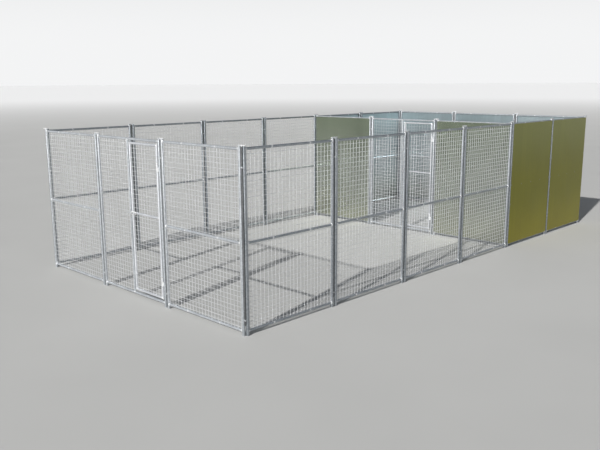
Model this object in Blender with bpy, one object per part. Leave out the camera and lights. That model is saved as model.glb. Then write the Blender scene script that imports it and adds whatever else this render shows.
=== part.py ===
"""Modular galvanised dog kennel run.

Welded panels of round tube stand in a rectangle, and a drop rod through lugs on the posts
pins them together at every joint. The front of the rectangle is an open run walled with
welded mesh, and the back is a shelter yard walled with flat sheet steel. A gate in the
front wall opens into the run, and a gate in the partition leads on into the shelter yard.

Metres, +Z up. The origin is at ground level in the middle of the plan. The front wall is
at -Y and the shelter yard at +Y. Each panel is built in its own frame: its left post
stands at the origin, its width runs along +X, and its outer face looks along -Y.
"""

import math

import bmesh
import bpy
from mathutils import Matrix, Vector
from mathutils.geometry import tessellate_polygon

# Plan
FRONT_PANELS = 3
RUN_PANELS = 4
SHELTER_PANELS = 2
PANEL_WIDTH = 1.200
JOINT_SPACING = 0.056

# Panel frame
POST_HEIGHT = 1.800
POST_DIAMETER = 0.0337
RAIL_DIAMETER = 0.0269
BOTTOM_RAIL_HEIGHT = 0.048
MID_RAIL_HEIGHT = 0.900
TOP_RAIL_DROP = 0.026
TUBE_SIDES = 8

# Welded mesh: the real cells are 50 mm, and every sixth wire of them is modelled
WIRE_DIAMETER = 0.004
WIRE_PITCH = 0.300

# Sheet steel walls
SHEET_THICKNESS = 0.0012
TOUCH_GAP = 0.0003

# Drop rods and the lugs that they pass through
ROD_DIAMETER = 0.012
ROD_CLEARANCE = 0.0008
ROD_FOOT_HEIGHT = 0.100
ROD_HANDLE_LENGTH = 0.100
ROD_HANDLE_DIAMETER = 0.010
ROD_TOP_STUB = 0.002
LUG_RADIUS = 0.010
LUG_ROOT_WIDTH = 0.011
LUG_HOLE_SIDES = 6
LUG_THICKNESS = 0.006
LUG_SPACE = 0.001
LOWER_LUG_HEIGHT = 0.150
UPPER_LUG_DROP = 0.200

# Gate leaf
FIXED_WIDTH = 0.610
LATCH_POST_DIAMETER = 0.0254
LEAF_TUBE_DIAMETER = 0.0269
LEAF_BAR_DIAMETER = 0.0254
LEAF_SIDE_GAP = 0.015
LEAF_END_GAP = 0.018
LEAF_MID_HEIGHT = 0.965

# Hinges
LOWER_HINGE_HEIGHT = 0.280
UPPER_HINGE_DROP = 0.295
BARREL_DIAMETER = 0.018
BARREL_LENGTH = 0.050
BARREL_STANDOFF = 0.001
HINGE_PIN_DIAMETER = 0.010
HINGE_PIN_CLEARANCE = 0.0005
HINGE_PIN_TAIL = 0.003
HINGE_PIN_HEAD_DIAMETER = 0.016
HINGE_PIN_HEAD_HEIGHT = 0.004
WING_THICKNESS = 0.005
WING_INSET = 0.002
WELD_DEPTH = 0.003

# Slide bolt
BOLT_DIAMETER = 0.012
BOLT_CLEARANCE = 0.0006
BOLT_STANDOFF = 0.006
BOLT_TRAVEL = 0.030
BOLT_TIP_GAP = 0.002
BOLT_TAIL = 0.005
BOLT_BARREL_DIAMETER = 0.020
KEEPER_LENGTH = 0.025
GUIDE_LENGTH = 0.018
GUIDE_START = 0.001
HANDLE_DIAMETER = 0.008
HANDLE_SPACE = 0.002
HANDLE_REACH = 0.030
HANDLE_DROP = 0.045
HANDLE_BEND_RADIUS = 0.010
LATCH_PLATE_MARGIN = 0.005
LATCH_PLATE_HEIGHT = 0.040
SADDLE_HEIGHT = 0.008

# Edges steeper than this are shaded sharp
SHARP_ANGLE = math.radians(50)

# Columns and rows that one panel spans, for each quarter turn of a wall from +X
QUARTER_TURN_STEPS = ((1, 0), (0, 1), (-1, 0), (0, -1))

# Values that follow from the sizes above
PITCH = PANEL_WIDTH + JOINT_SPACING
SIDE_PANELS = RUN_PANELS + SHELTER_PANELS
TOP_RAIL_HEIGHT = POST_HEIGHT - TOP_RAIL_DROP
UPPER_LUG_HEIGHT = POST_HEIGHT - UPPER_LUG_DROP
UPPER_HINGE_HEIGHT = POST_HEIGHT - UPPER_HINGE_DROP
POST_RADIUS = POST_DIAMETER / 2
RAIL_RADIUS = RAIL_DIAMETER / 2
LATCH_POST_RADIUS = LATCH_POST_DIAMETER / 2
LEAF_TUBE_RADIUS = LEAF_TUBE_DIAMETER / 2
ROD_OFFSET = JOINT_SPACING / 2
HINGE_X = PANEL_WIDTH - POST_RADIUS - LEAF_SIDE_GAP / 2
HINGE_Y = -(POST_RADIUS + BARREL_STANDOFF)
LEAF_LEFT = FIXED_WIDTH + LATCH_POST_RADIUS + LEAF_SIDE_GAP + LEAF_TUBE_RADIUS
LEAF_RIGHT = PANEL_WIDTH - POST_RADIUS - LEAF_SIDE_GAP - LEAF_TUBE_RADIUS
LEAF_INSET = RAIL_RADIUS + LEAF_END_GAP + LEAF_TUBE_RADIUS
LEAF_BOTTOM = BOTTOM_RAIL_HEIGHT + LEAF_INSET
LEAF_TOP = TOP_RAIL_HEIGHT - LEAF_INSET
BOLT_Y = -(LATCH_POST_RADIUS + BOLT_STANDOFF + BOLT_DIAMETER / 2)
BOLT_TIP_X = FIXED_WIDTH + KEEPER_LENGTH / 2 + BOLT_TIP_GAP
GUIDE_SPAN = BOLT_TRAVEL + HANDLE_DIAMETER + 2 * HANDLE_SPACE
FIRST_GUIDE_X = LEAF_LEFT - LEAF_TUBE_RADIUS + GUIDE_START
SECOND_GUIDE_X = FIRST_GUIDE_X + GUIDE_LENGTH + GUIDE_SPAN
HANDLE_X = SECOND_GUIDE_X - HANDLE_SPACE - HANDLE_DIAMETER / 2
BOLT_TAIL_X = SECOND_GUIDE_X + GUIDE_LENGTH + BOLT_TRAVEL + BOLT_TAIL


def clear_scene():
    for obj in list(bpy.data.objects):
        bpy.data.objects.remove(obj, do_unlink=True)


def zinc_material(name, colour, roughness, metallic=0.85):
    material = bpy.data.materials.new(name)
    material.use_nodes = True
    shader = material.node_tree.nodes["Principled BSDF"]
    shader.inputs["Base Color"].default_value = (*colour, 1.0)
    shader.inputs["Roughness"].default_value = roughness
    shader.inputs["Metallic"].default_value = metallic
    material.diffuse_color = (*colour, 1.0)
    return material


def helper_object(bm):
    """A temporary object to fuse or cut with, from a closed bmesh."""
    bmesh.ops.recalc_face_normals(bm, faces=bm.faces)
    mesh = bpy.data.meshes.new("helper")
    bm.to_mesh(mesh)
    bm.free()
    obj = bpy.data.objects.new("helper", mesh)
    obj.hide_render = True
    obj.display_type = "WIRE"
    bpy.context.scene.collection.objects.link(obj)
    return obj


def flats_radius(diameter, sides=TUBE_SIDES):
    """Corner radius of a regular bar whose flats lie on a circle of this diameter."""
    return diameter / 2 / math.cos(math.pi / sides)


def round_bar(start, end, diameter, inside=False):
    """A round bar from start to end, one flat facing each axis of the panel.

    The flats touch the true circle, or with inside=True the corners do.
    """
    start = Vector(start)
    along = Vector(end) - start
    radius = diameter / 2 if inside else flats_radius(diameter)
    bm = bmesh.new()
    bmesh.ops.create_cone(
        bm, cap_ends=True, segments=TUBE_SIDES, radius1=radius, radius2=radius, depth=along.length
    )
    half_step = Matrix.Rotation(math.pi / TUBE_SIDES, 4, "Z")
    turn = along.to_track_quat("Z", "Y").to_matrix().to_4x4()
    bm.transform(Matrix.Translation(start + along / 2) @ turn @ half_step)
    return helper_object(bm)


def swept_tube(path, diameter, side, closed=False):
    """A round tube along a flat path; side is the normal of the path's plane."""
    side = Vector(side)
    radius = flats_radius(diameter)
    count = len(path)
    angles = [math.pi * (2 * i + 1) / TUBE_SIDES for i in range(TUBE_SIDES)]
    bm = bmesh.new()
    rings = []
    for index, point in enumerate(path):
        before = path[index - 1] if closed or index else None
        after = path[(index + 1) % count] if closed or index < count - 1 else None
        arriving = (point - before).normalized() if before else (after - point).normalized()
        leaving = (after - point).normalized() if after else arriving
        middle = (arriving + leaving).normalized()
        across = middle.cross(side) / middle.dot(arriving)
        rings.append([
            bm.verts.new(point + radius * (math.cos(a) * side + math.sin(a) * across))
            for a in angles
        ])
    pairs = list(zip(rings, rings[1:] + rings[:1]))
    for ring, following in pairs if closed else pairs[:-1]:
        for i in range(TUBE_SIDES):
            j = (i + 1) % TUBE_SIDES
            bm.faces.new((ring[i], ring[j], following[j], following[i]))
    if not closed:
        bm.faces.new(rings[0])
        bm.faces.new(rings[-1])
    return helper_object(bm)


def box(low, high):
    bm = bmesh.new()
    bmesh.ops.create_cube(bm, size=1.0)
    low = Vector(low)
    size = Vector(high) - low
    bm.transform(Matrix.Translation(low + size / 2) @ Matrix.Diagonal((*size, 1.0)))
    return helper_object(bm)


def circle_points(centre, radius, first_angle, last_angle, count):
    """Points on an arc in the XY plane, both ends included."""
    step = (last_angle - first_angle) / (count - 1)
    angles = [first_angle + step * i for i in range(count)]
    return [centre + radius * Vector((math.cos(a), math.sin(a), 0.0)) for a in angles]


def drilled_plate(outline, hole, bottom, top):
    """A flat plate between two heights, with one hole through it."""
    bm = bmesh.new()
    loops = [outline, hole]
    triangles = tessellate_polygon(loops)
    levels = []
    for height in (bottom, top):
        points = [bm.verts.new((p.x, p.y, height)) for loop in loops for p in loop]
        levels.append(points)
        for triangle in triangles:
            bm.faces.new([points[i] for i in triangle])
    first = 0
    for loop in loops:
        count = len(loop)
        for i in range(count):
            a, b = first + i, first + (i + 1) % count
            bm.faces.new((levels[0][a], levels[0][b], levels[1][b], levels[1][a]))
        first += count
    return helper_object(bm)


def barrel(start, turn, length, diameter, bore):
    """A short tube from start, its length turned from +Z by the given matrix."""
    around = math.tau - math.pi / TUBE_SIDES
    loops = [
        circle_points(Vector(), flats_radius(d), math.pi / TUBE_SIDES, around, TUBE_SIDES)
        for d in (diameter, bore)
    ]
    tube = drilled_plate(*loops, 0.0, length)
    tube.data.transform(Matrix.Translation(start) @ turn)
    return tube


def fused_mesh(name, solids):
    """One mesh from solids that are welded together."""
    base, *others = solids
    for other in others:
        modifier = base.modifiers.new("weld", "BOOLEAN")
        modifier.operation = "UNION"
        modifier.solver = "EXACT"
        modifier.object = other
    graph = bpy.context.evaluated_depsgraph_get()
    mesh = bpy.data.meshes.new_from_object(base.evaluated_get(graph))
    mesh.name = name
    for helper in solids:
        bpy.data.objects.remove(helper, do_unlink=True)
    mesh.shade_smooth()
    mesh.set_sharp_from_angle(angle=SHARP_ANGLE)
    return mesh


def even_steps(low, high):
    """Wire positions that divide a bay into cells of about the mesh's pitch."""
    cells = max(2, round((high - low) / WIRE_PITCH))
    return [low + (high - low) * i / cells for i in range(1, cells)]


def wire_net(left, right, rails):
    """Crossing wires between two posts and the rails, welded flat into one grid."""
    columns = even_steps(left, right)
    rows = [z for low, high in zip(rails, rails[1:]) for z in even_steps(low, high)]
    half = WIRE_DIAMETER / 2
    xs = [left, *(x + d for x in columns for d in (-half, half)), right]
    zs = [rails[0], *(z + d for z in rows for d in (-half, half)), rails[-1]]
    bm = bmesh.new()
    grid = {}
    for i in range(len(xs) - 1):
        for k in range(len(zs) - 1):
            if i % 2 or k % 2:
                corners = ((i, k), (i + 1, k), (i + 1, k + 1), (i, k + 1))
                for c in corners:
                    if c not in grid:
                        grid[c] = bm.verts.new((xs[c[0]], -half, zs[c[1]]))
                bm.faces.new([grid[c] for c in corners])
    front = list(bm.faces)
    made = bmesh.ops.extrude_face_region(bm, geom=front, use_keep_orig=True)["geom"]
    moved = [item for item in made if isinstance(item, bmesh.types.BMVert)]
    bmesh.ops.translate(bm, verts=moved, vec=(0.0, WIRE_DIAMETER, 0.0))
    return helper_object(bm)


def lug(post_x, outward, level, height):
    """A drilled lug from a flat of the post to the rod's centre line, in its own layer."""
    rod = Vector((post_x + outward * ROD_OFFSET, 0.0, 0.0))
    facing = 0.0 if outward > 0 else math.pi
    corner = math.pi / TUBE_SIDES
    nose_radius = flats_radius(2 * LUG_RADIUS)
    nose = circle_points(rod, nose_radius, facing - 3 * corner, facing + 3 * corner, 4)
    root_x = post_x + outward * (POST_RADIUS - WELD_DEPTH)
    root_y = outward * LUG_ROOT_WIDTH / 2
    root = [Vector((root_x, root_y, 0.0)), Vector((root_x, -root_y, 0.0))]
    hole_radius = flats_radius(ROD_DIAMETER + 2 * ROD_CLEARANCE, LUG_HOLE_SIDES)
    last = math.tau * (1 - 1 / LUG_HOLE_SIDES)
    hole = circle_points(rod, hole_radius, 0.0, last, LUG_HOLE_SIDES)
    bottom = height + level * (LUG_THICKNESS + LUG_SPACE)
    return drilled_plate(nose + root, hole, bottom, bottom + LUG_THICKNESS)


def posts_and_lugs(left_level, right_level):
    """The two posts of a panel, with a lower and an upper lug on each."""
    solids = []
    for x, outward, level in ((0.0, -1, left_level), (PANEL_WIDTH, 1, right_level)):
        solids.append(round_bar((x, 0, 0), (x, 0, POST_HEIGHT), POST_DIAMETER))
        for height in (LOWER_LUG_HEIGHT, UPPER_LUG_HEIGHT):
            solids.append(lug(x, outward, level, height))
    return solids


def rail(left, right, height):
    return round_bar((left, 0, height), (right, 0, height), RAIL_DIAMETER)


def ladder_solids(left_level, right_level):
    """Posts with a bottom, a middle and a top rail."""
    solids = posts_and_lugs(left_level, right_level)
    for height in (BOTTOM_RAIL_HEIGHT, MID_RAIL_HEIGHT, TOP_RAIL_HEIGHT):
        solids.append(rail(0, PANEL_WIDTH, height))
    return solids


def mesh_panel_mesh():
    rails = (BOTTOM_RAIL_HEIGHT, MID_RAIL_HEIGHT, TOP_RAIL_HEIGHT)
    return fused_mesh("mesh_panel", [*ladder_solids(0, 1), wire_net(0, PANEL_WIDTH, rails)])


def sheet_frame_mesh(left_level, right_level):
    return fused_mesh("sheet_frame", ladder_solids(left_level, right_level))


def sheet_mesh():
    """The flat sheet on a frame's outer face, from post centre to post centre."""
    face = -(POST_RADIUS + TOUCH_GAP)
    low = (0, face - SHEET_THICKNESS, BOTTOM_RAIL_HEIGHT)
    return fused_mesh("sheet", [box(low, (PANEL_WIDTH, face, TOP_RAIL_HEIGHT))])


def hinge_barrel(bottom, tube_centre, tube_radius):
    """A barrel on the hinge axis and the wing that welds it to its tube."""
    axis = Vector((HINGE_X, HINGE_Y, bottom))
    bore = HINGE_PIN_DIAMETER + 2 * HINGE_PIN_CLEARANCE
    tube = barrel(axis, Matrix(), BARREL_LENGTH, BARREL_DIAMETER, bore)
    across = Vector((tube_centre, 0.0, bottom)) - axis
    bm = bmesh.new()
    bmesh.ops.create_cube(bm, size=1.0)
    near = BARREL_DIAMETER / 2 - WELD_DEPTH / 2
    far = across.length - tube_radius + WELD_DEPTH
    size = Matrix.Diagonal((far - near, WING_THICKNESS, BARREL_LENGTH - 2 * WING_INSET, 1.0))
    turn = Matrix.Rotation(math.atan2(across.y, across.x), 4, "Z")
    shift = Matrix.Translation(((near + far) / 2, 0, BARREL_LENGTH / 2))
    bm.transform(Matrix.Translation(axis) @ turn @ shift @ size)
    return [tube, helper_object(bm)]


def bolt_barrel(start_x, length):
    """A short tube round the slide bolt's path."""
    start = (start_x, BOLT_Y, LEAF_MID_HEIGHT)
    turn = Matrix.Rotation(math.pi / 2, 4, "Y")
    return barrel(start, turn, length, BOLT_BARREL_DIAMETER, BOLT_DIAMETER + 2 * BOLT_CLEARANCE)


def keeper_solids():
    """The latch post's keeper: a short tube on a saddle."""
    half_length = KEEPER_LENGTH / 2 - WING_INSET
    half_height = SADDLE_HEIGHT / 2
    back = -(LATCH_POST_RADIUS - WELD_DEPTH)
    front = BOLT_Y + BOLT_BARREL_DIAMETER / 2 - WELD_DEPTH / 2
    low = (FIXED_WIDTH - half_length, front, LEAF_MID_HEIGHT - half_height)
    high = (FIXED_WIDTH + half_length, back, LEAF_MID_HEIGHT + half_height)
    return [bolt_barrel(FIXED_WIDTH - KEEPER_LENGTH / 2, KEEPER_LENGTH), box(low, high)]


def gate_frame_mesh():
    """The panel round a gate: a fixed mesh bay, the latch post and an open doorway."""
    solids = posts_and_lugs(0, 1)
    solids.append(rail(0, PANEL_WIDTH, BOTTOM_RAIL_HEIGHT))
    solids.append(rail(0, PANEL_WIDTH, TOP_RAIL_HEIGHT))
    foot = (FIXED_WIDTH, 0, BOTTOM_RAIL_HEIGHT)
    solids.append(round_bar(foot, (FIXED_WIDTH, 0, TOP_RAIL_HEIGHT), LATCH_POST_DIAMETER))
    solids.append(wire_net(0, FIXED_WIDTH, (BOTTOM_RAIL_HEIGHT, TOP_RAIL_HEIGHT)))
    for z in (LOWER_HINGE_HEIGHT, UPPER_HINGE_HEIGHT):
        solids += hinge_barrel(z - BARREL_LENGTH, PANEL_WIDTH, POST_RADIUS)
    solids += keeper_solids()
    return fused_mesh("gate_frame", solids)


def leaf_outline():
    """Centre line of the mitred tube round the leaf, in the panel's plane."""
    corners = (
        (LEAF_RIGHT, LEAF_TOP),
        (LEAF_LEFT, LEAF_TOP),
        (LEAF_LEFT, LEAF_BOTTOM),
        (LEAF_RIGHT, LEAF_BOTTOM),
    )
    return [Vector((x, 0.0, z)) for x, z in corners]


def latch_plate():
    """The plate on the leaf that carries both guides of the bolt."""
    back = -(LEAF_TUBE_RADIUS - WELD_DEPTH)
    front = BOLT_Y + BOLT_BARREL_DIAMETER / 2 - WELD_DEPTH / 2
    half = LATCH_PLATE_HEIGHT / 2
    left = FIRST_GUIDE_X + WING_INSET
    right = SECOND_GUIDE_X + GUIDE_LENGTH + LATCH_PLATE_MARGIN
    return box((left, front, LEAF_MID_HEIGHT - half), (right, back, LEAF_MID_HEIGHT + half))


def leaf_mesh():
    """The swinging leaf, in the panel's frame: mitred tube, mesh, barrels and guides."""
    solids = [swept_tube(leaf_outline(), LEAF_TUBE_DIAMETER, (0, 1, 0), closed=True)]
    middle = (LEAF_LEFT, 0, LEAF_MID_HEIGHT)
    solids.append(round_bar(middle, (LEAF_RIGHT, 0, LEAF_MID_HEIGHT), LEAF_BAR_DIAMETER))
    solids.append(wire_net(LEAF_LEFT, LEAF_RIGHT, (LEAF_BOTTOM, LEAF_MID_HEIGHT, LEAF_TOP)))
    for z in (LOWER_HINGE_HEIGHT, UPPER_HINGE_HEIGHT):
        solids += hinge_barrel(z + TOUCH_GAP, LEAF_RIGHT, LEAF_TUBE_RADIUS)
    solids.append(latch_plate())
    for x in (FIRST_GUIDE_X, SECOND_GUIDE_X):
        solids.append(bolt_barrel(x, GUIDE_LENGTH))
    mesh = fused_mesh("gate_leaf", solids)
    mesh.transform(Matrix.Translation((-HINGE_X, -HINGE_Y, 0)))
    return mesh


def hinge_pin_mesh():
    """A headed pin down through both barrels; its origin is level with their joint."""
    bottom = -BARREL_LENGTH - HINGE_PIN_TAIL
    seat = BARREL_LENGTH + 2 * TOUCH_GAP
    inside_head = seat + HINGE_PIN_HEAD_HEIGHT / 2
    shank = round_bar((0, 0, bottom), (0, 0, inside_head), HINGE_PIN_DIAMETER, inside=True)
    head = round_bar((0, 0, seat), (0, 0, seat + HINGE_PIN_HEAD_HEIGHT), HINGE_PIN_HEAD_DIAMETER)
    return fused_mesh("hinge_pin", [shank, head])


def bolt_mesh():
    """The slide bolt and its bent handle; its origin is at the tip."""
    rod = round_bar((0, 0, 0), (BOLT_TAIL_X - BOLT_TIP_X, 0, 0), BOLT_DIAMETER)
    x = HANDLE_X - BOLT_TIP_X
    radius = HANDLE_BEND_RADIUS
    centre = Vector((-(HANDLE_REACH - radius), -radius, 0))
    bend = circle_points(centre, radius, math.pi / 2, math.pi, 4)
    path = [Vector((x, 0, 0)), *(Vector((x, p.x, p.y)) for p in bend)]
    path.append(Vector((x, -HANDLE_REACH, -HANDLE_DROP)))
    handle = swept_tube(path, HANDLE_DIAMETER, (1, 0, 0))
    return fused_mesh("slide_bolt", [rod, handle])


def drop_rod_mesh():
    """The rod that pins a joint, with a cross handle resting on the posts' tops."""
    handle_z = POST_HEIGHT + TOUCH_GAP + ROD_HANDLE_DIAMETER / 2
    half = ROD_HANDLE_LENGTH / 2
    top = handle_z + ROD_HANDLE_DIAMETER / 2 + ROD_TOP_STUB
    rod = round_bar((0, 0, ROD_FOOT_HEIGHT), (0, 0, top), ROD_DIAMETER, inside=True)
    handle = round_bar((-half, 0, handle_z), (half, 0, handle_z), ROD_HANDLE_DIAMETER)
    return fused_mesh("drop_rod", [rod, handle])


def add_piece(name, mesh, material, parent, location=(0, 0, 0)):
    obj = bpy.data.objects.new(name, mesh)
    if not mesh.materials:
        mesh.materials.append(material)
    obj.parent = parent
    obj.location = location
    bpy.context.scene.collection.objects.link(obj)
    return obj


def add_station(name, column, row, heading):
    """An empty at a joint of the plan, turned so that +X runs along the wall."""
    station = bpy.data.objects.new(name, None)
    station.location = ((column - FRONT_PANELS / 2) * PITCH, (row - SIDE_PANELS / 2) * PITCH, 0)
    station.rotation_euler = (0, 0, heading)
    bpy.context.scene.collection.objects.link(station)
    return station


def next_joint(start, turn, count):
    """The joint that lies a number of panels along a wall from its first joint."""
    across, back = QUARTER_TURN_STEPS[turn]
    return start[0] + count * across, start[1] + count * back


def wall_plan():
    """Each wall's name, first joint, direction in quarter turns and kinds of panel."""
    mesh_run = ["mesh"] * RUN_PANELS
    sheet_run = ["sheet"] * SHELTER_PANELS
    gate = FRONT_PANELS // 2
    front = ["gate" if i == gate else "mesh" for i in range(FRONT_PANELS)]
    partition = ["gate" if i == gate else "sheet" for i in range(FRONT_PANELS)]
    return (
        ("front", (0, 0), 0, front),
        ("right", (FRONT_PANELS, 0), 1, mesh_run + sheet_run),
        ("back", (FRONT_PANELS, SIDE_PANELS), 2, ["sheet"] * FRONT_PANELS),
        ("left", (0, SIDE_PANELS), 3, sheet_run + mesh_run),
        ("partition", (0, RUN_PANELS), 0, partition),
    )


def add_gate(wall, frame, meshes, materials):
    """The leaf, hinge pins and bolt of the gate in one wall."""
    add_piece(f"{wall}_gate_leaf", meshes["leaf"], materials["leaf"], frame, (HINGE_X, HINGE_Y, 0))
    for label, z in (("lower", LOWER_HINGE_HEIGHT), ("upper", UPPER_HINGE_HEIGHT)):
        name = f"{wall}_gate_{label}_hinge_pin"
        add_piece(name, meshes["pin"], materials["pin"], frame, (HINGE_X, HINGE_Y, z))
    tip = (BOLT_TIP_X, BOLT_Y, LEAF_MID_HEIGHT)
    add_piece(f"{wall}_gate_bolt", meshes["bolt"], materials["bolt"], frame, tip)


def add_wall(wall, start, turn, kinds, meshes, materials):
    for index, kind in enumerate(kinds):
        joint = next_joint(start, turn, index)
        label = f"{wall}_{kind}" if kind == "gate" else f"{wall}_{kind}_{index + 1}"
        station = add_station(f"{label}_station", *joint, turn * math.pi / 2)
        left = "tee" if wall == "partition" and index == 0 else "line"
        right = "tee" if wall == "partition" and index == len(kinds) - 1 else "line"
        mesh = meshes[kind] if kind != "sheet" else meshes["sheet", left, right]
        frame = add_piece(f"{label}_frame", mesh, materials["frame"], station, (ROD_OFFSET, 0, 0))
        if kind == "sheet":
            add_piece(f"{label}_skin", meshes["skin"], materials["skin"], frame)
        if kind == "gate":
            add_gate(wall, frame, meshes, materials)


def add_drop_rods(walls, mesh, material):
    """One rod for each joint of the plan; its handle lies along the first wall there."""
    joints = {}
    for _, start, turn, kinds in walls:
        for index in range(len(kinds) + 1):
            joints.setdefault(next_joint(start, turn, index), turn)
    for number, (joint, turn) in enumerate(sorted(joints.items()), 1):
        station = add_station(f"rod_station_{number:02d}", *joint, turn * math.pi / 2)
        add_piece(f"drop_rod_{number:02d}", mesh, material, station)


def make_meshes():
    """One mesh for each kind of piece; the copies of a piece share it."""
    return {
        "mesh": mesh_panel_mesh(),
        "gate": gate_frame_mesh(),
        ("sheet", "line", "line"): sheet_frame_mesh(0, 1),
        ("sheet", "tee", "line"): sheet_frame_mesh(2, 1),
        ("sheet", "line", "tee"): sheet_frame_mesh(0, 2),
        "skin": sheet_mesh(),
        "leaf": leaf_mesh(),
        "pin": hinge_pin_mesh(),
        "bolt": bolt_mesh(),
        "rod": drop_rod_mesh(),
    }


def make_materials():
    return {
        "frame": zinc_material("galvanised_tube", (0.62, 0.64, 0.65), 0.42),
        "leaf": zinc_material("galvanised_leaf_tube", (0.64, 0.66, 0.67), 0.40),
        "skin": zinc_material("zinc_sheet", (0.52, 0.55, 0.54), 0.28),
        "rod": zinc_material("galvanised_rod", (0.66, 0.67, 0.68), 0.38),
        "pin": zinc_material("plated_pin", (0.58, 0.59, 0.60), 0.35),
        "bolt": zinc_material("plated_bolt", (0.68, 0.69, 0.70), 0.32),
    }


def main():
    clear_scene()
    meshes = make_meshes()
    materials = make_materials()
    walls = wall_plan()
    for wall in walls:
        add_wall(*wall, meshes, materials)
    add_drop_rods(walls, meshes["rod"], materials["rod"])


main()
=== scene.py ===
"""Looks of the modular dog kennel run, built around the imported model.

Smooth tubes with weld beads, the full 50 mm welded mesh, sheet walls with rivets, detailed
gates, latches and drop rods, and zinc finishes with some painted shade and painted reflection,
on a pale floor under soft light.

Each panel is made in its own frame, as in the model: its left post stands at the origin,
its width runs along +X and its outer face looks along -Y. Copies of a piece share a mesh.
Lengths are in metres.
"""

import math
import random

import bmesh
import bpy
import numpy as np
from mathutils import Matrix, Vector


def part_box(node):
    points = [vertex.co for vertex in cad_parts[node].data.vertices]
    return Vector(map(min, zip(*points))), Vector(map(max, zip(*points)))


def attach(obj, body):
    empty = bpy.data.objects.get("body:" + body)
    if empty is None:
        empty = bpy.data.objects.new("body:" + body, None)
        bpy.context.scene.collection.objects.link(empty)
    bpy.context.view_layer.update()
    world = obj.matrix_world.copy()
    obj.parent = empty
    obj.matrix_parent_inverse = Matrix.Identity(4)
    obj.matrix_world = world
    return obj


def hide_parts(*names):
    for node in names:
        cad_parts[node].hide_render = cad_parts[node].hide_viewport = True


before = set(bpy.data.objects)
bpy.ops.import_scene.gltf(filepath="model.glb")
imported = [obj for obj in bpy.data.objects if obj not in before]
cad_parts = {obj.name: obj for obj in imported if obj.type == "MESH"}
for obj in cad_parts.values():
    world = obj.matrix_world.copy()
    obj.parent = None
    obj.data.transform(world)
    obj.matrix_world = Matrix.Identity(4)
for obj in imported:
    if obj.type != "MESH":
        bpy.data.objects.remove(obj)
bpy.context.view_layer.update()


def extent(node):
    low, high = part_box(node)
    return high - low


def box_centre(node):
    low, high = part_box(node)
    return (low + high) / 2


# Sizes read from the model
POST_HEIGHT = extent("front_mesh_1_frame").z
POST_RADIUS = extent("front_mesh_1_frame").y / 2
PANEL_WIDTH = extent("back_sheet_1_skin").x
SHEET_THICKNESS = extent("back_sheet_1_skin").y
BOTTOM_RAIL_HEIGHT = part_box("back_sheet_1_skin")[0].z
TOP_RAIL_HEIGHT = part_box("back_sheet_1_skin")[1].z
PITCH = (box_centre("front_mesh_3_frame") - box_centre("front_mesh_1_frame")).x / 2
ROD_OFFSET = (PITCH - PANEL_WIDTH) / 2
LUG_RADIUS = (extent("front_mesh_1_frame").x - PITCH) / 2
ROD_FOOT_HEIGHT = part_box("drop_rod_01")[0].z
ROD_TOP_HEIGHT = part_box("drop_rod_01")[1].z

# Sizes that the model and this script share by name
MID_RAIL_HEIGHT = 0.900
RAIL_RADIUS = 0.01345
TUBE_WALL = 0.002
FIXED_WIDTH = 0.610
LATCH_POST_RADIUS = 0.0127
LEAF_TUBE_RADIUS = 0.01345
LEAF_BAR_RADIUS = 0.0127
LEAF_SIDE_GAP = 0.015
LEAF_END_GAP = 0.018
LEAF_MID_HEIGHT = 0.965
HINGE_HEIGHTS = (0.280, POST_HEIGHT - 0.295)
BARREL_RADIUS = 0.009
BARREL_LENGTH = 0.050
BARREL_STANDOFF = 0.001
BARREL_BORE_RADIUS = 0.0055
HINGE_PIN_RADIUS = 0.005
HINGE_PIN_TAIL = 0.003
HINGE_PIN_HEAD_RADIUS = 0.008
HINGE_PIN_HEAD_HEIGHT = 0.004
WING_THICKNESS = 0.005
TOUCH_GAP = 0.0003
BOLT_RADIUS = 0.006
BOLT_CLEARANCE = 0.0006
BOLT_STANDOFF = 0.006
BOLT_TIP_GAP = 0.002
BOLT_TRAVEL = 0.030
BOLT_TAIL = 0.005
BOLT_BARREL_RADIUS = 0.010
KEEPER_LENGTH = 0.025
GUIDE_LENGTH = 0.018
GUIDE_START = 0.001
HANDLE_RADIUS = 0.004
HANDLE_SPACE = 0.002
HANDLE_REACH = 0.030
HANDLE_DROP = 0.045
HANDLE_BEND_RADIUS = 0.010
LATCH_PLATE_MARGIN = 0.005
LATCH_PLATE_HEIGHT = 0.040
SADDLE_HEIGHT = 0.008
LUG_THICKNESS = 0.006
LUG_SPACE = 0.001
LUG_HEIGHTS = (0.150, POST_HEIGHT - 0.200)
LUG_HOLE_RADIUS = 0.0068
LUG_ROOT_HALF = 0.0060
ROD_RADIUS = 0.006
ROD_HANDLE_RADIUS = 0.005
ROD_HANDLE_LENGTH = 0.100

# Sizes of what only this script makes
MESH_PITCH = 0.050
MESH_HALF_ROWS = 17
WIRE_RADIUS = 0.002
WIRE_SIDES = 8
WIRE_SINK = 0.0004
WIRE_BITE = 0.0015
WIRE_EDGE_SPACE = 0.006
NUGGET_WIDTH = 1.25 * WIRE_RADIUS
NUGGET_DEPTH = 0.9 * WIRE_RADIUS
END_TACK_PROFILE = (
    (0.0, -0.0015), (0.0036, 0.0), (0.0032, 0.0016), (0.0018, 0.0030), (0.0, 0.0036),
)
RIVET_RADIUS = 0.0048
RIVET_HEIGHT = 0.0018
RIVET_RIM = 0.0004
RIVET_SIDES = 14
RIVET_INSET = 0.012
RIVET_RAIL_INSET = 0.006
RIVET_PITCH = 0.285
SHEET_BULGE = 0.0022
SHEET_COLUMNS = 24
SHEET_BAY_ROWS = 18
SHEET_WAVES = 4

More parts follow.
